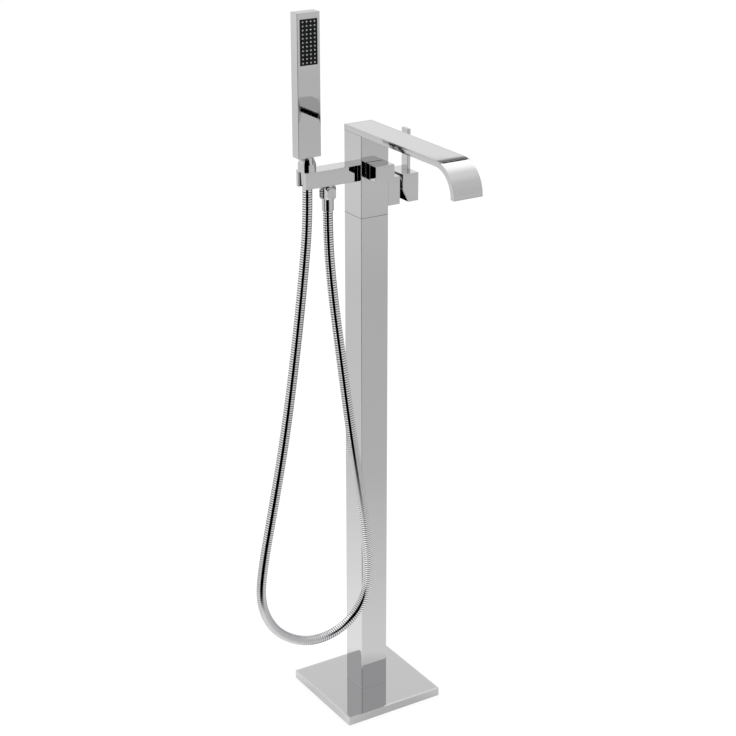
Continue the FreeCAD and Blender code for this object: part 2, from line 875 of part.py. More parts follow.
def check_valve_cage():
    r = outlet_bore - thread_fit
    top = arm_z0 - cage_inset
    cage = rod_z(r, outlet_foot_z, top, outlet_x)
    cage = cage.cut(rod_z(r - check_wall, outlet_foot_z + cage_floor, top, outlet_x))
    return cage.cut(rod_z(cage_hole_r, outlet_foot_z, top, outlet_x))


def check_valve_poppet():
    r = outlet_bore - thread_fit - check_wall - skin_gap
    top = arm_z0 - poppet_sink
    stem = rod_z(poppet_stem_r, outlet_foot_z + poppet_foot_gap, top - poppet_head / 2,
                 outlet_x)
    return stem.fuse(cone_z(poppet_nose_r, r, top - poppet_head, top, outlet_x))


def hex_prism(flats, z0, z1, x):
    r = flats / math.sqrt(3)
    points = [V(x + r * math.cos(math.radians(60 * i)), r * math.sin(math.radians(60 * i)),
                z0) for i in range(6)]
    return Part.Face(Part.makePolygon(points + points[:1])).extrude(V(0, 0, z1 - z0))


def hose_nut():
    nut = hex_prism(nut_flats, nut_z, nut_top, outlet_x)
    corner = nut_flats / math.sqrt(3)
    trim = turned([(0, nut_z), (corner - nut_chamfer, nut_z),
                   (corner, nut_z + nut_chamfer_rise), (corner, nut_top - nut_chamfer_rise),
                   (corner - nut_chamfer, nut_top), (0, nut_top)], outlet_x, 0)
    nut = nut.common(trim)
    flange_foot = washer_z - ferrule_flange
    nut = nut.cut(rod_z(outlet_male_r + thread_fit, flange_foot, nut_top, outlet_x))
    return nut.cut(rod_z(ferrule_neck_r + slip_fit, nut_z, flange_foot, outlet_x))


def outlet_washer():
    return tube_z(outlet_male_r - slip_fit, washer_bore, washer_z, outlet_foot_z, outlet_x)


def outlet_ferrule():
    flange_foot = washer_z - ferrule_flange
    flange = rod_z(ferrule_flange_r, flange_foot, washer_z, outlet_x)
    neck = rod_z(ferrule_neck_r, nut_z - ferrule_gap, flange_foot, outlet_x)
    barrel = rod_z(ferrule_r, ferrule_foot_z, nut_z - ferrule_gap, outlet_x)
    ferrule = barrel.fuse([neck, flange])
    return ferrule.cut(rod_z(hose_bore, ferrule_foot_z, washer_z, outlet_x))


# --- hose ---

def route_path():
    points = [V(*p) for p in hose_route]
    edges = []
    radii = []
    last = points[0]
    for before, here, after in zip(points, points[1:], points[2:]):
        a = here - before
        b = after - here
        turn = a.getAngle(b)
        reach = turn_share * min(a.Length, b.Length)
        radius = reach / math.tan(turn / 2)
        start = here - V(a).normalize() * reach
        end = here + V(b).normalize() * reach
        inward = (V(b).normalize() - V(a).normalize()).normalize()
        middle = here + inward * (radius / math.cos(turn / 2) - radius)
        edges.append(Part.LineSegment(last, start).toShape())
        edges.append(Part.Arc(start, middle, end).toShape())
        radii.append(radius)
        last = end
    edges.append(Part.LineSegment(last, points[-1]).toShape())
    print("hose radii", [round(r) for r in radii])
    return edges


def point_on(edges, distance):
    for edge in edges:
        if distance <= edge.Length or edge is edges[-1]:
            p = edge.getParameterByLength(min(distance, edge.Length))
            return edge.valueAt(p), edge.tangentAt(p)
        distance -= edge.Length


def ring_at(point, tangent, radius):
    # the ring's own X axis stays in the direction of +Y, so the rings never twist
    x_axis = V(0, 1, 0) - tangent * tangent.y
    x_axis.normalize()
    y_axis = tangent.cross(x_axis)
    turn = FreeCAD.Rotation(x_axis, y_axis, tangent, "ZXY")
    ring = Part.makeCircle(radius)
    ring.Placement = FreeCAD.Placement(point, turn)
    return Part.Wire([ring])


def hose_sheath(edges):
    length = sum(e.Length for e in edges)
    pitch = length / hose_ribs
    rings = []
    for i in range(hose_ribs):
        for share, radius in rib_profile:
            point, tangent = point_on(edges, (i + share) * pitch)
            rings.append(ring_at(point, tangent, radius))
    point, tangent = point_on(edges, length)
    rings.append(ring_at(point, tangent, hose_root_r))
    outer = Part.makeLoft(rings, True, True)
    bore = pipe(edges, hose_bore_r)
    tube = outer.cut(bore)
    print("hose length", round(length, 1), "volume share",
          round(tube.Volume / (math.pi * length * (hose_r ** 2 - hose_bore_r ** 2)), 3))
    return tube


def pipe(edges, radius):
    wire = Part.Wire(edges)
    point, tangent = point_on(edges, 0)
    return wire.makePipeShell([ring_at(point, tangent, radius)], True, False)


def hose_liner(edges):
    return pipe(edges, liner_r).cut(pipe(edges, liner_bore))


def hand_ferrule():
    barrel_top = arm_z0 + hand_ferrule_rise
    barrel = rod_z(hand_ferrule_r, hand_ferrule_z, barrel_top, holder_x)
    tail = rod_z(ferrule_neck_r, barrel_top, hand_flange_z, holder_x)
    flange = rod_z(ferrule_flange_r - slip_fit, hand_flange_z,
                   hand_flange_z + ferrule_flange, holder_x)
    ferrule = barrel.fuse([tail, flange])
    return ferrule.cut(rod_z(hose_bore, hand_ferrule_z, hand_flange_z + ferrule_flange,
                             holder_x))


# --- conical nut and handset ---

def conical_nut():
    nut_end = arm_top + nut_straight
    foot = arm_z0 + nut_foot_rise
    outline = [
        (0, foot), (cone_bottom_r + cone_ease, foot), (cone_top_r - cone_ease, arm_top),
        (nut_r, arm_top), (nut_r, nut_end), (neck_r + nut_lip, nut_end + nut_cone),
        (0, nut_end + nut_cone),
    ]
    nut = turned(outline, holder_x, 0)
    nut = nut.cut(rod_z(ferrule_neck_r + slip_fit, foot, hand_flange_z, holder_x))
    return nut.cut(rod_z(neck_r + thread_fit, hand_flange_z, nut_end + nut_cone, holder_x))


def handset_washer():
    z0 = hand_flange_z + ferrule_flange
    return tube_z(neck_r - slip_fit, neck_bore, z0, neck_foot_z, holder_x)


def handset_neck():
    neck = rod_z(neck_r, neck_foot_z, handset_z0 + handset_wall, holder_x)
    neck = neck.fuse(rod_z(neck_tail_r, handset_z0 + handset_wall, neck_tail_z, holder_x))
    neck = neck.cut(rod_z(neck_bore, neck_foot_z, feed_foot_z, holder_x))
    return neck.cut(rod_z(feed_r + thread_fit, feed_foot_z, neck_tail_z, holder_x))


def handset_shell():
    shell = block(handset_width, handset_depth, handset_z0, handset_z1, holder_x)
    shell = soften(shell, handset_edge, up)
    wall = handset_wall
    hollow = block(handset_width - 2 * wall, handset_depth - 2 * wall, handset_z0 + wall,
                   handset_z1 - wall, holder_x)
    shell = shell.cut(hollow)
    shell = shell.cut(box(holder_x - pad_width / 2 - skin_gap,
                          holder_x + pad_width / 2 + skin_gap, -handset_half,
                          -handset_half + wall, pad_z0 - skin_gap, pad_z1 + skin_gap))
    return shell.cut(rod_z(neck_r + thread_fit, handset_z0, handset_z0 + wall, holder_x))


def nozzle_places():
    places = []
    for row in range(pad_rows):
        for column in range(pad_columns):
            x = holder_x + (column - (pad_columns - 1) / 2) * nozzle_pitch_x
            z = pad_z + (row - (pad_rows - 1) / 2) * nozzle_pitch_z
            places.append((x, z))
    return places


def spray_plate():
    y0 = -handset_half
    plate = box(holder_x - pad_width / 2, holder_x + pad_width / 2, y0, y0 + handset_wall,
                pad_z0, pad_z1)
    plate = soften(plate, pad_corner, V(0, 1, 0))
    holes = [rod_y(nozzle_r + thread_fit, y0, y0 + handset_wall, x, z)
             for x, z in nozzle_places()]
    return plate.cut(holes)


def pad_backing(y0, y1, inset=0.0):
    reach = pad_width / 2 + pad_lap - inset
    return box(holder_x - reach, holder_x + reach, y0, y1, pad_z0 - pad_lap + inset,
               pad_z1 + pad_lap - inset)


def nozzle_mat():
    y0 = -handset_half + handset_wall
    mat = pad_backing(y0, y0 + mat_thick)
    front = -handset_half - nozzle_proud
    mat = mat.fuse([rod_y(nozzle_r, front, y0, x, z) for x, z in nozzle_places()])
    return mat.cut([rod_y(nozzle_bore_r, front, y0 + mat_thick, x, z)
                    for x, z in nozzle_places()])


def spray_tray():
    y0 = -handset_half + handset_wall + mat_thick
    tray = pad_backing(y0, y0 + tray_depth)
    tray = tray.cut(pad_backing(y0, y0 + tray_depth - tray_wall, tray_wall))
    return tray.cut(rod_z(feed_bore, pad_z0 - pad_lap, pad_z0, holder_x))


def feed_tube():
    top = pad_z0 - pad_lap
    lower = rod_z(feed_r, feed_foot_z, feed_step_z, holder_x)
    tube = lower.fuse(rod_z(feed_neck_r, feed_step_z, top, holder_x))
    return tube.cut(rod_z(feed_bore, feed_foot_z, top, holder_x))


os.makedirs("parts", exist_ok=True)

write("floor_flange", floor_flange())
write("base_cover", base_cover())
write("foot_spigot", foot_spigot())
write("column_tube", column_tube())
write("foot_lock_screws", lock_screws(foot_screw_z))
write("body_lock_screws", lock_screws(column_top - neck_length / 2))
write("hot_riser", riser(riser_y))
write("cold_riser", riser(-riser_y))
write("inlet_tails", inlet_tails())
write("riser_seals", riser_seals())
write("riser_spacers", riser_spacers())
write("valve_body", valve_body())
write("port_seals", port_seals())
write("mixer_housing", mixer_housing())
write("housing_screws", housing_screws())
write("cartridge_body", cartridge_body())
write("fixed_disc", fixed_disc())
write("moving_disc", moving_disc())
write("cartridge_rotor", cartridge_rotor())
write("pivot_pin", pivot_pin())
write("ring_nut", ring_nut())
write("dome_ring", dome_ring())
write("mixer_stem", mixer_stem())
write("handle_block", handle_block())
write("handle_grub_screw", handle_grub_screw())
write("lever_bar", lever_bar())
write("diverter_sleeve", diverter_sleeve())
write("diverter_spindle", diverter_spindle())
write("gland_seal", gland_seal())
write("diverter_gland", diverter_gland())
write("diverter_knob", diverter_knob())
write("knob_grub_screw", knob_grub_screw())
write("spout_channel", spout_channel())
write("spout_cover", spout_cover())
write("spout_nipple", spout_nipple())
write("spout_seal", spout_seal())
write("spout_screws", spout_screws())
write("shower_arm", shower_arm())
write("holder_bush", holder_bush())
write("arm_nipple", arm_nipple())
write("arm_seal", arm_seal())
write("arm_dowels", arm_dowels())
write("outlet_nipple", outlet_nipple())
write("check_valve_cage", check_valve_cage())
write("check_valve_poppet", check_valve_poppet())
write("hose_nut", hose_nut())
write("outlet_washer", outlet_washer())
write("outlet_ferrule", outlet_ferrule())
path = route_path()
write("hose_sheath", hose_sheath(path))
write("hose_liner", hose_liner(path))
write("hand_ferrule", hand_ferrule())
write("conical_nut", conical_nut())
write("handset_washer", handset_washer())
write("handset_neck", handset_neck())
write("handset_shell", handset_shell())
write("spray_plate", spray_plate())
write("nozzle_mat", nozzle_mat())
write("spray_tray", spray_tray())
write("feed_tube", feed_tube())
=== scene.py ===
import bpy
import json
import math
from mathutils import Matrix, Vector


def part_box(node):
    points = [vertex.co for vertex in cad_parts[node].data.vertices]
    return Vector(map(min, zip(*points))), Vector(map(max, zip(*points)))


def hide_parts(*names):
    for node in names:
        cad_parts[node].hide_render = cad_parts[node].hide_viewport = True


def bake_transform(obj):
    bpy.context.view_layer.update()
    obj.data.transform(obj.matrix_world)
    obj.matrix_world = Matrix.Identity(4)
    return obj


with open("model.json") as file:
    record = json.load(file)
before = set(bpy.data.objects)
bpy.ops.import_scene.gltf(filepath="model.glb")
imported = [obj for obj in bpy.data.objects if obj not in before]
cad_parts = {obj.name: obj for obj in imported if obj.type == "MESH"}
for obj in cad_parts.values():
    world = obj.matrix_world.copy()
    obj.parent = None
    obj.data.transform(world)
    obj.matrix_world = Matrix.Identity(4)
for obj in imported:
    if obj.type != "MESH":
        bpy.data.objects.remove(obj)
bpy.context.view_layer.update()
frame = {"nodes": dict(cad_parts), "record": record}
cadNodes = frame["nodes"]
mm = 0.001
levelScale = 2      # a colour ramp stops at 1, so grey levels are kept divided by this
print("frame loaded")


def toLinear(code):
    # "#c8c8c8" as a linear colour, by the sRGB curve
    parts = [int(code[i:i + 2], 16) / 255 for i in (1, 3, 5)]
    return [c / 12.92 if c <= 0.04045 else ((c + 0.055) / 1.055) ** 2.4 for c in parts] + [1]


def greyColour(level):
    return [level] * 3 + [1]


def addObject(name, data):
    made = bpy.data.objects.new(name, data)
    bpy.context.scene.collection.objects.link(made)
    return made


def emptyTree(owner):
    # the node tree of a material or world, with nothing in it yet
    owner.use_nodes = True
    owner.node_tree.nodes.clear()
    return owner.node_tree


def addNode(tree, kind, settings=None, inputs=None, links=None):
    # settings are the node's own, inputs its socket values, links {socket: (node, output)}
    node = tree.nodes.new(kind)
    for key, value in (settings or {}).items():
        setattr(node, key, value)
    for key, value in (inputs or {}).items():
        node.inputs[key].default_value = value
    for key, (source, output) in (links or {}).items():
        tree.links.new(source.outputs[output], node.inputs[key])
    return node


def startMaterial(name):
    material = bpy.data.materials.new(name)
    tree = emptyTree(material)
    shader = addNode(tree, "ShaderNodeBsdfPrincipled")
    addNode(tree, "ShaderNodeOutputMaterial", links={"Surface": (shader, 0)})
    return material, tree, shader


# electroplated chrome on polished brass: mirror flats that bend what they reflect
# a very little, and soft bright edges
chromeFinish = {
    "colour": "#c4c4c5",        # chromium over nickel, nearly neutral
    "roughness": (0.015, 0.05),
    "haze": (0.35, 0.75),       # the noise levels that are the smoothest and the haziest
    "hazePatch": 14 * mm,       # where a cloth has wiped the plate
    "edgeRadius": 0.45 * mm,    # plated edges are never sharp, they catch a thin light
    "rollRadius": 6 * mm,       # and the buffing wheel rolls the flats off a little beside them
    "roll": 0.07,
    "edgeSamples": 6,
    "wave": 26 * mm,            # polishing leaves the flats very slightly wavy
    "waveDepth": 0.002 * mm,
    "joints": (),               # where the shadow in a joint shows, along jointAxis
}
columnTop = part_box("column_tube")[1][2]
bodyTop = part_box("valve_body")[1][2]
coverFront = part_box("spout_cover")[0][1]
# what differs from that in each kind of chrome; the real joints are too thin to show,
# so their painted shadow lines are drawn as wide as they need to be
chromeKinds = {
    "polishedChrome": {},
    # the hose's thin strip is bright and clean, and too narrow for soft edges
    "hoseChrome": {
        "colour": "#dfdfe1",
        "roughness": (0.015, 0.045),
        "hazePatch": 5 * mm,
        "edgeRadius": 0,
    },
    # the column and the body, with a painted grey shadow line where they meet and under the spout
    "jointedChrome": {
        "joints": (columnTop, bodyTop),
        "jointAxis": "Z",
        "jointWidth": 0.7 * mm,
        "jointShadowColour": "#707072",
    },
    # the spout's cover, with a painted dark shadow line at the end that the curl begins at
    "coverChrome": {
        "joints": (coverFront,),
        "jointAxis": "Y",
        "jointWidth": 2.6 * mm,
        "jointShadowColour": "#202021",
    },
}


def paintJointShadow(tree, shader, coords, finish):
    # a painted dark shadow line, in the base colour, where two pieces meet
    parts = addNode(tree, "ShaderNodeSeparateXYZ", links={0: (coords, "Object")})
    lines = None
    for place in finish["joints"]:
        line = addNode(tree, "ShaderNodeMath", {"operation": "COMPARE"},
                       inputs={1: place, 2: finish["jointWidth"] / 2},
                       links={0: (parts, finish["jointAxis"])})
        lines = line if lines is None else addNode(
            tree, "ShaderNodeMath", {"operation": "MAXIMUM"},
            links={0: (lines, 0), 1: (line, 0)})
    tint = addNode(tree, "ShaderNodeMixRGB",
                   inputs={"Color1": toLinear(finish["colour"]),
                           "Color2": toLinear(finish["jointShadowColour"])},
                   links={"Fac": (lines, 0)})
    tree.links.new(tint.outputs[0], shader.inputs["Base Color"])


def makeChrome(name, finish):
    material, tree, shader = startMaterial(name)
    shader.inputs["Base Color"].default_value = toLinear(finish["colour"])
    shader.inputs["Metallic"].default_value = 1
    coords = addNode(tree, "ShaderNodeTexCoord")
    if finish["joints"]:
        paintJointShadow(tree, shader, coords, finish)
    haze = addNode(tree, "ShaderNodeTexNoise",
                   inputs={"Scale": 1 / finish["hazePatch"], "Detail": 4, "Roughness": 0.6},
                   links={"Vector": (coords, "Object")})
    clean, hazy = finish["haze"]
    low, high = finish["roughness"]
    rough = addNode(tree, "ShaderNodeMapRange",
                    inputs={"From Min": clean, "From Max": hazy, "To Min": low, "To Max": high},
                    links={"Value": (haze, "Fac")})
    tree.links.new(rough.outputs[0], shader.inputs["Roughness"])
    wave = addNode(tree, "ShaderNodeTexNoise",
                   inputs={"Scale": 1 / finish["wave"], "Detail": 1},
                   links={"Vector": (coords, "Object")})
    bump = addNode(tree, "ShaderNodeBump",
                   inputs={"Strength": 1, "Distance": finish["waveDepth"]},
                   links={"Height": (wave, "Fac")})
    if finish["edgeRadius"]:
        samples = {"samples": finish["edgeSamples"]}
        edge = addNode(tree, "ShaderNodeBevel", samples, {"Radius": finish["edgeRadius"]})
        rolled = addNode(tree, "ShaderNodeBevel", samples, {"Radius": finish["rollRadius"]})
        # for vectors, a mix node's sockets 4 and 5 go in and its output 1 comes out
        soft = addNode(tree, "ShaderNodeMix", {"data_type": "VECTOR"}, {0: finish["roll"]},
                       {4: (edge, 0), 5: (rolled, 0)})
        tree.links.new(soft.outputs[1], bump.inputs["Normal"])
    tree.links.new(bump.outputs[0], shader.inputs["Normal"])
    return material


moulded = {
    # ABS from a sparked mould: deep black with a dull, weak shine
    "absSatinBlack": {
        "colour": "#050506", "roughness": 0.4, "gloss": 0.2,
        "grain": 0.35 * mm, "depth": 0.01 * mm,
    },
    # moulded silicone rubber: pale grey and matt, so that the nozzles stand out
    "siliconeGrey": {
        "colour": "#b4b8bb", "roughness": 0.5, "gloss": 0.5,
        "grain": 0.3 * mm, "depth": 0.01 * mm,
    },
    # moulded EPDM rubber: nearly black, with hardly any shine
    "epdmRubber": {
        "colour": "#141415", "roughness": 0.7, "gloss": 0.5,
        "grain": 0.4 * mm, "depth": 0.02 * mm,
    },
    # glass filled nylon, moulded: dark grey, a little grainy
    "nylonGrey": {
        "colour": "#4b4e52", "roughness": 0.5, "gloss": 0.5,
        "grain": 0.5 * mm, "depth": 0.02 * mm,
    },
    # moulded acetal: milky white and waxy
    "acetalWhite": {
        "colour": "#dcdbd5", "roughness": 0.38, "gloss": 0.5,
        "grain": 0.6 * mm, "depth": 0.01 * mm,
    },
    # alumina, sintered and lapped: off-white, close to a polish
    "aluminaCeramic": {
        "colour": "#e6e4de", "roughness": 0.18, "gloss": 0.5,
        "grain": 0.3 * mm, "depth": 0.004 * mm,
    },
}
grainShade = 0.86       # how dark the hollows of the grain are, beside its tops
grainStrength = 0.6


def makeMoulded(name, finish):
    # an even colour under a very fine grain
    material, tree, shader = startMaterial(name)
    coords = addNode(tree, "ShaderNodeTexCoord")
    grain = addNode(tree, "ShaderNodeTexNoise",
                    inputs={"Scale": 1 / finish["grain"], "Detail": 3},
                    links={"Vector": (coords, "Object")})
    top = toLinear(finish["colour"])
    hollow = [c * grainShade for c in top[:3]] + [1]
    tint = addNode(tree, "ShaderNodeMixRGB", inputs={"Color1": hollow, "Color2": top},
                   links={"Fac": (grain, "Fac")})
    bump = addNode(tree, "ShaderNodeBump",
                   inputs={"Strength": grainStrength, "Distance": finish["depth"]},
                   links={"Height": (grain, "Fac")})
    tree.links.new(tint.outputs[0], shader.inputs["Base Color"])
    tree.links.new(bump.outputs[0], shader.inputs["Normal"])
    shader.inputs["Roughness"].default_value = finish["roughness"]
    shader.inputs["Specular IOR Level"].default_value = finish["gloss"]
    return material


turned = {
    # bare rolled steel, deep between the turns of the hose, darkened as painted shade of the gap:
    # a dark gap with a faint gleam
    "hoseSeamShade": {"colour": "#2a2a2c", "roughness": (0.1, 0.18), "tool": 0.3 * mm},
    # turned stainless steel: silvery, with fine rings
    "stainlessTurned": {"colour": "#b9b7b4", "roughness": (0.18, 0.34), "tool": 0.25 * mm},
    # turned brass: yellow, with fine rings
    "brassTurned": {"colour": "#c9a25a", "roughness": (0.2, 0.36), "tool": 0.3 * mm},
}
ringScale = 0.05        # rings about six tool marks apart, because single ones don't show


def makeTurned(name, finish):
    # bare machined metal: rings left by the tool, some smoother than others
    material, tree, shader = startMaterial(name)
    coords = addNode(tree, "ShaderNodeTexCoord")
    rings = addNode(tree, "ShaderNodeTexWave", {"wave_type": "RINGS"},
                    {"Scale": ringScale / finish["tool"], "Distortion": 1.5, "Detail": 2},
                    {"Vector": (coords, "Object")})
    low, high = finish["roughness"]
    rough = addNode(tree, "ShaderNodeMapRange", inputs={"To Min": low, "To Max": high},
                    links={"Value": (rings, "Fac")})
    tree.links.new(rough.outputs[0], shader.inputs["Roughness"])
    shader.inputs["Base Color"].default_value = toLinear(finish["colour"])
    shader.inputs["Metallic"].default_value = 1
    return material


finishes = {}
for name, changes in chromeKinds.items():
    finishes[name] = makeChrome(name, {**chromeFinish, **changes})
for name, finish in moulded.items():
    finishes[name] = makeMoulded(name, finish)
for name, finish in turned.items():
    finishes[name] = makeTurned(name, finish)

slotFinish = {
    "polished_chrome": "polishedChrome",
    "chrome_hose": "hoseChrome",
    "black_plate": "absSatinBlack",
    "grey_nozzle": "siliconeGrey",
    "stainless": "stainlessTurned",
    "raw_brass": "brassTurned",
    "ceramic": "aluminaCeramic",
    "grey_plastic": "nylonGrey",
    "white_plastic": "acetalWhite",
    "seal_rubber": "epdmRubber",
}
# pieces that have another finish than the rest of their slot
nodeFinish = {
    "column_tube": "jointedChrome",
    "valve_body": "jointedChrome",
    "spout_cover": "coverChrome",
}
for part in frame["record"]["subparts"]:
    materials = cadNodes[part["node"]].data.materials
    materials.clear()
    materials.append(finishes[nodeFinish.get(part["node"], slotFinish[part["material_slot"]])])
print("finishes made")


hose = {
    "diameter": 14 * mm,
    "rootDiameter": 13.1 * mm,
    "pitch": 3.4 * mm,          # a little coarser than the real ribs, so that they show
    "sides": 28,
    "length": 1.4418,           # metres, from end to end
    "smoothness": 24,           # points read from the route's spline between two of its own
    # from the ferrule under the arm, round in front of the column, to the hand shower;
    # in millimetres
    "route": [
        (-62, 0, 774), (-62, 0, 728), (-63, -13, 655), (-60, -31, 560),
        (-52.5, -42, 460), (-37.5, -42, 364), (-26.5, -40, 292), (-20, -37, 232),
        (-21, -34, 187), (-39, -31, 152), (-72, -28, 130), (-113, -25, 126),
        (-151, -21, 142), (-178, -18, 172), (-190, -15, 215), (-181, -12, 270),
        (-163, -9, 344), (-140, -7, 449), (-118.5, -4, 575), (-102, -1, 690),
        (-94, 0, 762), (-94, 0, 808),
    ],
    # along one turn of the strip: (share of the pitch, share of the rib's height)
    "rib": [(0.0, 0.0), (0.25, 0.0), (0.29, 0.96), (0.4, 1.0), (0.86, 1.0), (0.96, 0.96)],
    "seam": (0, 1, 5),          # the spans of a rib that lie in the seam between turns, darkened as painted shade of the deep gap
    "crease": 40,               # degrees, a sharper bend than this is an edge of the strip
}


def splinePoints(size):
    # points along the smooth line that the route's points pull into shape
    curve = bpy.data.curves.new("hoseRoute", "CURVE")
    curve.dimensions = "3D"
    curve.resolution_u = size["smoothness"]
    spline = curve.splines.new("NURBS")
    spline.points.add(len(size["route"]) - 1)
    for point, (x, y, z) in zip(spline.points, size["route"]):
        point.co = (x * mm, y * mm, z * mm, 1)
    spline.order_u = 3
    spline.use_endpoint_u = True
    holder = addObject("hoseRoute", curve)
    line = bpy.data.meshes.new_from_object(holder)
    points = [v.co.copy() for v in line.vertices]
    bpy.data.objects.remove(holder)
    bpy.data.meshes.remove(line)
    return points


def placeAlong(points, distances, target, start):
    # point and direction at a distance along the line; start is the span looked at last
    while start < len(points) - 2 and distances[start + 1] < target:
        start += 1
    span = distances[start + 1] - distances[start]
    share = min(1, max(0, (target - distances[start]) / span))
    here = points[start].lerp(points[start + 1], share)
    before = points[max(0, start - 1)]
    after = points[min(len(points) - 1, start + 2)]
    return here, (after - before).normalized(), start


def buildHose(size):
    # a ring of points at each station of each rib, all along the route
    points = splinePoints(size)
    distances = [0]
    for a, b in zip(points, points[1:]):
        distances.append(distances[-1] + (b - a).length)
    ribs = round(distances[-1] / size["pitch"])
    pitch = distances[-1] / ribs
    low = size["rootDiameter"] / 2
    high = size["diameter"] / 2
    sides = size["sides"]
    stations = [(i + share, rise) for i in range(ribs) for share, rise in size["rib"]]
    stations.append((ribs, 0))
    verts, faces, inSeam, span = [], [], [], 0
    for turn, rise in stations:
        here, along, span = placeAlong(points, distances, turn * pitch, span)
        side = Vector((0, 1, 0))        # the route never runs along Y
        side = (side - along * side.dot(along)).normalized()
        other = along.cross(side)
        radius = low + (high - low) * rise
        for k in range(sides):
            angle = 2 * math.pi * k / sides
            verts.append(here + (side * math.cos(angle) + other * math.sin(angle)) * radius)
    for ring in range(len(stations) - 1):
        for k in range(sides):
            a = ring * sides + k
            b = ring * sides + (k + 1) % sides
            faces.append((a, b, b + sides, a + sides))
            inSeam.append(int(ring % len(size["rib"]) in size["seam"]))
    mesh = bpy.data.meshes.new("ribbedHose")
    mesh.from_pydata([tuple(v) for v in verts], [], faces)
    mesh.shade_smooth()
    mesh.set_sharp_from_angle(angle=math.radians(size["crease"]))
    mesh.materials.append(finishes["hoseChrome"])
    # the seam's faces carry the painted shade of the deep gap between turns
    mesh.materials.append(finishes["hoseSeamShade"])
    mesh.polygons.foreach_set("material_index", inSeam)
    return addObject("ribbedHose", mesh), points


ribbedHose, hosePath = buildHose(hose)
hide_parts("hose_sheath", "hose_liner")
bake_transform(ribbedHose)
print("hose built")


# metres, radians, and millimetres for the lens
cameraView = {
    "place": (-1.2681, -2.0310, 1.4870),
    "yaw": -0.5591,             # turned from the Y axis, to the left where it is positive
    "pitch": 0.3809,            # and down from level
    "lens": 88.04,
    "sensor": 36,
    "farthest": 50,
}


def addCamera(view):
    data = bpy.data.cameras.new("camera")
    data.lens = view["lens"]
    data.sensor_width = view["sensor"]
    data.clip_end = view["farthest"]
    camera = addObject("camera", data)
    level = Vector((-math.sin(view["yaw"]), math.cos(view["yaw"]), 0))
    right = Vector((math.cos(view["yaw"]), math.sin(view["yaw"]), 0))
    ahead = level * math.cos(view["pitch"]) - Vector((0, 0, 1)) * math.sin(view["pitch"])
    top = right.cross(ahead)
    turn = Matrix((right, top, -ahead)).transposed()
    camera.matrix_world = Matrix.Translation(view["place"]) @ turn.to_4x4()
    bpy.context.scene.camera = camera


addCamera(cameraView)
print("camera placed")


# grey levels are 1 for white paper; ways round are in degrees, 0 at the front
# and 90 on the lever's side
studio = {
    "floorSize": 24,
    "paper": "#f4f4f4",
    "paperRoughness": 0.9,
    "shadowShare": 0.22,        # how much of the object's shadow the white floor keeps
    # what the chrome sees of the floor: (metres from the column, level); the lower levels next to
    # the column are a painted shadow of the base
    "floorFar": [
        (0.0, 0.9), (0.1, 0.96), (0.135, 1.3), (0.23, 1.29), (0.415, 1.17),
        (0.82, 0.966), (1.28, 0.944), (1.91, 0.935), (2.3, 0.98), (2.8, 1.03),
        (3.4, 0.96), (4.2, 0.98), (5.6, 1.08), (12.0, 1.0),
    ],
    # and round it: (way round, level)
    "floorRound": [
        (-180, 0.965), (-110, 0.965), (-85, 1.0), (-50, 1.0), (-40, 0.78),
        (32, 0.78), (75, 0.84), (100, 0.96), (180, 1.0),
    ],
    # what it sees above the floor: (sine of the height angle, level)
    "behind": [
        (-1.0, 1.0), (0.12, 0.95), (0.17, 0.81), (0.19, 0.84), (0.235, 1.06),
        (0.38, 1.07), (0.5, 1.0), (0.548, 0.93), (0.6, 1.5), (0.63, 1.85),
        (0.78, 1.85), (0.84, 1.65), (1.0, 1.3),
    ],
    "inFront": [
        (-1.0, 0.78), (0.17, 0.79), (0.55, 0.87), (0.73, 1.07), (0.82, 1.13), (1.0, 1.3),
    ],
    "turnsBehind": (-0.25, 0.15),       # how far towards Y the one fades into the other
    # a dark opening in front, on the floor and higher up: (way round, level)
    "floorOpening": [(-180, 1), (-67, 1), (-63, 0), (-9, 0), (-6, 1), (180, 1)],
    "opening": [(-180, 1), (-67, 1), (-63, 0), (6, 0), (14, 1), (180, 1)],
    "openingWidens": (0.03, 0.1),       # sines of the height angle
    # how much of it there is, by metres from the column and by sine of the height angle
    "openingFar": [(0.0, 0), (0.42, 0), (0.62, 1), (12.0, 1)],
    "openingHigh": [(-1.0, 1), (0.62, 1), (0.7, 0), (1.0, 0)],
    # dark cards that only the chrome sees: levels are (share of the way up, level)
    "cards": {
        # behind the tap, it draws the line where the spout's cover ends
        "noseCard": {
            "corner": (-0.2, 1.6, 1.27),
            "along": (1.7, -1.05, 0),
            "upright": (0, 0, 0.78),
            "levels": [
                (0.0, 0.93), (0.13, 0.83), (0.31, 0.5), (0.5, 0.34),
                (0.74, 0.2), (0.86, 0.06), (0.92, 0), (1.0, 0),
            ],
        },
        # lying on the floor behind it, seen in the slanted face under the handle
        "floorCard": {
            "corner": (-0.15, 0.75, 0.004),
            "along": (0.5, 0, 0),
            "upright": (0, 0.6, 0),
            "levels": [(0.0, 0), (1.0, 0)],
        },
    },
    # soft boxes, which the chrome doesn't see: metres and watts
    "lamps": {
        "overheadBox": {"place": (0.4, -0.6, 3.2), "side": 2.4, "power": 28},
        "sideBox": {"place": (-2.2, -0.8, 1.8), "side": 1.6, "power": 9},
    },
    "lampAim": (0, 0, 0.5),
}


def splitRays(tree):
    # the camera and clear parts see the plain white background, while scattered light
    # and the chrome see what each material gives them
    path = addNode(tree, "ShaderNodeLightPath")
    plain = addNode(tree, "ShaderNodeMath", {"operation": "MAXIMUM"},
                    links={0: (path, "Is Camera Ray"), 1: (path, "Is Transmission Ray")})
    return path, plain


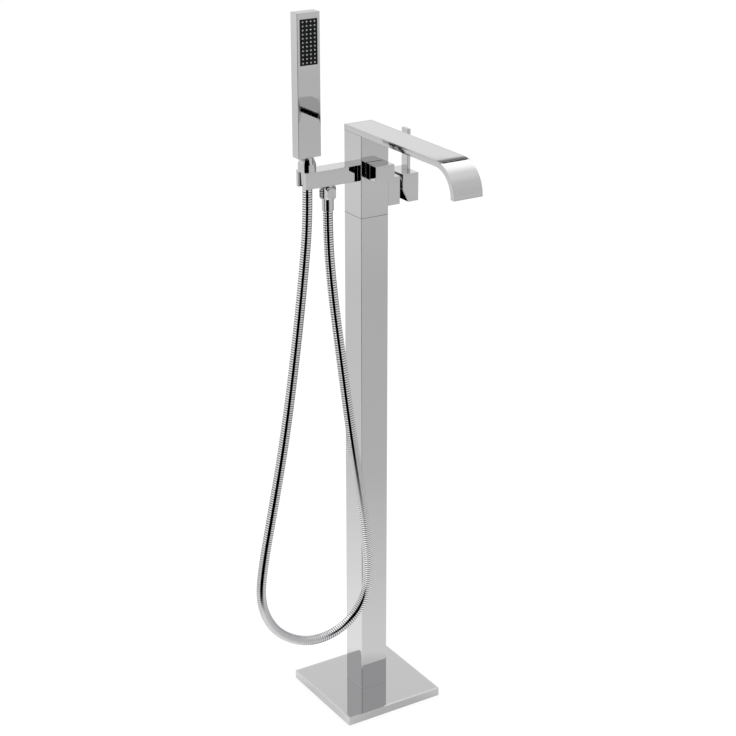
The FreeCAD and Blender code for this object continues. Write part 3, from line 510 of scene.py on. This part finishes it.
def levelBy(tree, source, output, stops):
    # the grey level that follows a value, divided by levelScale; stops are (value, level)
    low, high = stops[0][0], stops[-1][0]
    share = addNode(tree, "ShaderNodeMapRange", inputs={"From Min": low, "From Max": high},
                    links={"Value": (source, output)})
    ramp = addNode(tree, "ShaderNodeValToRGB", links={0: (share, 0)})
    elements = ramp.color_ramp.elements
    while len(elements) > 1:
        elements.remove(elements[-1])
    for number, (value, level) in enumerate(stops):
        element = elements.new((value - low) / (high - low)) if number else elements[0]
        element.color = greyColour(level / levelScale)
    return ramp


def wayRound(tree, parts):
    # the angle from the front, in degrees
    front = addNode(tree, "ShaderNodeMath", {"operation": "MULTIPLY"}, {1: -1}, {0: (parts, "Y")})
    angle = addNode(tree, "ShaderNodeMath", {"operation": "ARCTAN2"},
                    links={0: (parts, "X"), 1: (front, 0)})
    return addNode(tree, "ShaderNodeMath", {"operation": "DEGREES"}, links={0: (angle, 0)})


def bothLevels(tree, one, other):
    # one level darkened by the other; each is divided by levelScale, so once is undone
    both = addNode(tree, "ShaderNodeMath", {"operation": "MULTIPLY"},
                   links={0: (one, 0), 1: (other, 0)})
    return addNode(tree, "ShaderNodeMath", {"operation": "MULTIPLY"},
                   {1: levelScale}, {0: (both, 0)})


def openingWhere(tree, opening, share):
    # the opening where the share is 1, and plain white where it is 0
    full = addNode(tree, "ShaderNodeMath", {"operation": "MULTIPLY"},
                   {1: levelScale}, {0: (share, 0)})
    return addNode(tree, "ShaderNodeMixRGB", inputs={"Color1": greyColour(1 / levelScale)},
                   links={"Fac": (full, 0), "Color2": (opening, 0)})


def buildFloor(size):
    half = size["floorSize"] / 2
    corners = [(-half, -half, 0), (half, -half, 0), (half, half, 0), (-half, half, 0)]
    mesh = bpy.data.meshes.new("studioFloor")
    mesh.from_pydata(corners, [], [(0, 1, 2, 3)])
    floor = addObject("studioFloor", mesh)
    material = bpy.data.materials.new("whitePaperFloor")
    mesh.materials.append(material)
    tree = emptyTree(material)
    path, plain = splitRays(tree)
    # matt paper, which the camera sees as nearly pure white with a weak shadow
    paper = addNode(tree, "ShaderNodeBsdfPrincipled",
                    inputs={"Base Color": toLinear(size["paper"]),
                            "Roughness": size["paperRoughness"]})
    glow = addNode(tree, "ShaderNodeEmission", inputs={"Strength": 1})
    white = addNode(tree, "ShaderNodeMixShader", inputs={0: 1 - size["shadowShare"]},
                    links={1: (paper, 0), 2: (glow, 0)})
    seen = addNode(tree, "ShaderNodeMixShader",
                   links={0: (plain, 0), 1: (paper, 0), 2: (white, 0)})
    # the floor as the chrome sees it, in set grey levels with a painted shadow next to the column
    coords = addNode(tree, "ShaderNodeTexCoord")
    parts = addNode(tree, "ShaderNodeSeparateXYZ", links={0: (coords, "Object")})
    turn = wayRound(tree, parts)
    far = addNode(tree, "ShaderNodeVectorMath", {"operation": "LENGTH"},
                  links={0: (coords, "Object")})
    byFar = levelBy(tree, far, "Value", size["floorFar"])
    byRound = levelBy(tree, turn, 0, size["floorRound"])
    opening = openingWhere(tree, levelBy(tree, turn, 0, size["floorOpening"]),
                           levelBy(tree, far, "Value", size["openingFar"]))
    level = bothLevels(tree, bothLevels(tree, byFar, byRound), opening)
    mirrored = addNode(tree, "ShaderNodeEmission", inputs={"Strength": levelScale},
                       links={"Color": (level, 0)})
    final = addNode(tree, "ShaderNodeMixShader",
                    links={0: (path, "Is Glossy Ray"), 1: (seen, 0), 2: (mirrored, 0)})
    addNode(tree, "ShaderNodeOutputMaterial", links={"Surface": (final, 0)})


def buildWorld(size):
    world = bpy.data.worlds.new("studio")
    bpy.context.scene.world = world
    tree = emptyTree(world)
    coords = addNode(tree, "ShaderNodeTexCoord")
    parts = addNode(tree, "ShaderNodeSeparateXYZ", links={0: (coords, "Generated")})
    turn = wayRound(tree, parts)
    front, back = size["turnsBehind"]
    side = addNode(tree, "ShaderNodeMapRange", {"interpolation_type": "SMOOTHSTEP"},
                   {"From Min": front, "From Max": back}, {"Value": (parts, "Y")})
    inFront = levelBy(tree, parts, "Z", size["inFront"])
    behind = levelBy(tree, parts, "Z", size["behind"])
    room = addNode(tree, "ShaderNodeMixRGB",
                   links={"Fac": (side, 0), "Color1": (inFront, 0), "Color2": (behind, 0)})
    start, end = size["openingWidens"]
    rise = addNode(tree, "ShaderNodeMapRange", inputs={"From Min": start, "From Max": end},
                   links={"Value": (parts, "Z")})
    narrow = levelBy(tree, turn, 0, size["floorOpening"])
    wide = levelBy(tree, turn, 0, size["opening"])
    widening = addNode(tree, "ShaderNodeMixRGB",
                       links={"Fac": (rise, 0), "Color1": (narrow, 0), "Color2": (wide, 0)})
    opening = openingWhere(tree, widening, levelBy(tree, parts, "Z", size["openingHigh"]))
    level = bothLevels(tree, room, opening)
    light = addNode(tree, "ShaderNodeBackground", inputs={"Strength": levelScale},
                    links={"Color": (level, 0)})
    white = addNode(tree, "ShaderNodeBackground",
                    inputs={"Color": greyColour(1), "Strength": 1})
    path, plain = splitRays(tree)
    choose = addNode(tree, "ShaderNodeMixShader",
                     links={0: (plain, 0), 1: (light, 0), 2: (white, 0)})
    addNode(tree, "ShaderNodeOutputWorld", links={"Surface": (choose, 0)})


def addCard(name, size):
    corner, along, upright = (Vector(size[key]) for key in ("corner", "along", "upright"))
    corners = [corner, corner + along, corner + along + upright, corner + upright]
    mesh = bpy.data.meshes.new(name)
    mesh.from_pydata(corners, [], [(0, 1, 2, 3)])
    mesh.uv_layers.new(name="rise").data.foreach_set("uv", [0, 0, 1, 0, 1, 1, 0, 1])
    card = addObject(name, mesh)
    for kind in ("camera", "diffuse", "transmission", "volume_scatter", "shadow"):
        setattr(card, "visible_" + kind, False)
    material = bpy.data.materials.new(name + "Paper")
    mesh.materials.append(material)
    tree = emptyTree(material)
    coords = addNode(tree, "ShaderNodeTexCoord")
    parts = addNode(tree, "ShaderNodeSeparateXYZ", links={0: (coords, "UV")})
    level = levelBy(tree, parts, "Y", size["levels"])
    glow = addNode(tree, "ShaderNodeEmission", inputs={"Strength": levelScale},
                   links={"Color": (level, 0)})
    addNode(tree, "ShaderNodeOutputMaterial", links={"Surface": (glow, 0)})


def addLamp(name, size, aim):
    data = bpy.data.lights.new(name, "AREA")
    data.shape = "SQUARE"
    data.size = size["side"]
    data.energy = size["power"]
    lamp = addObject(name, data)
    lamp.location = size["place"]
    toAim = Vector(aim) - Vector(size["place"])
    lamp.rotation_euler = toAim.to_track_quat("-Z", "Y").to_euler()
    lamp.visible_glossy = False


buildFloor(studio)
buildWorld(studio)
for name, size in studio["cards"].items():
    addCard(name, size)
for name, size in studio["lamps"].items():
    addLamp(name, size, studio["lampAim"])
print("studio set")

scene = bpy.context.scene
scene.view_settings.view_transform = "Standard"
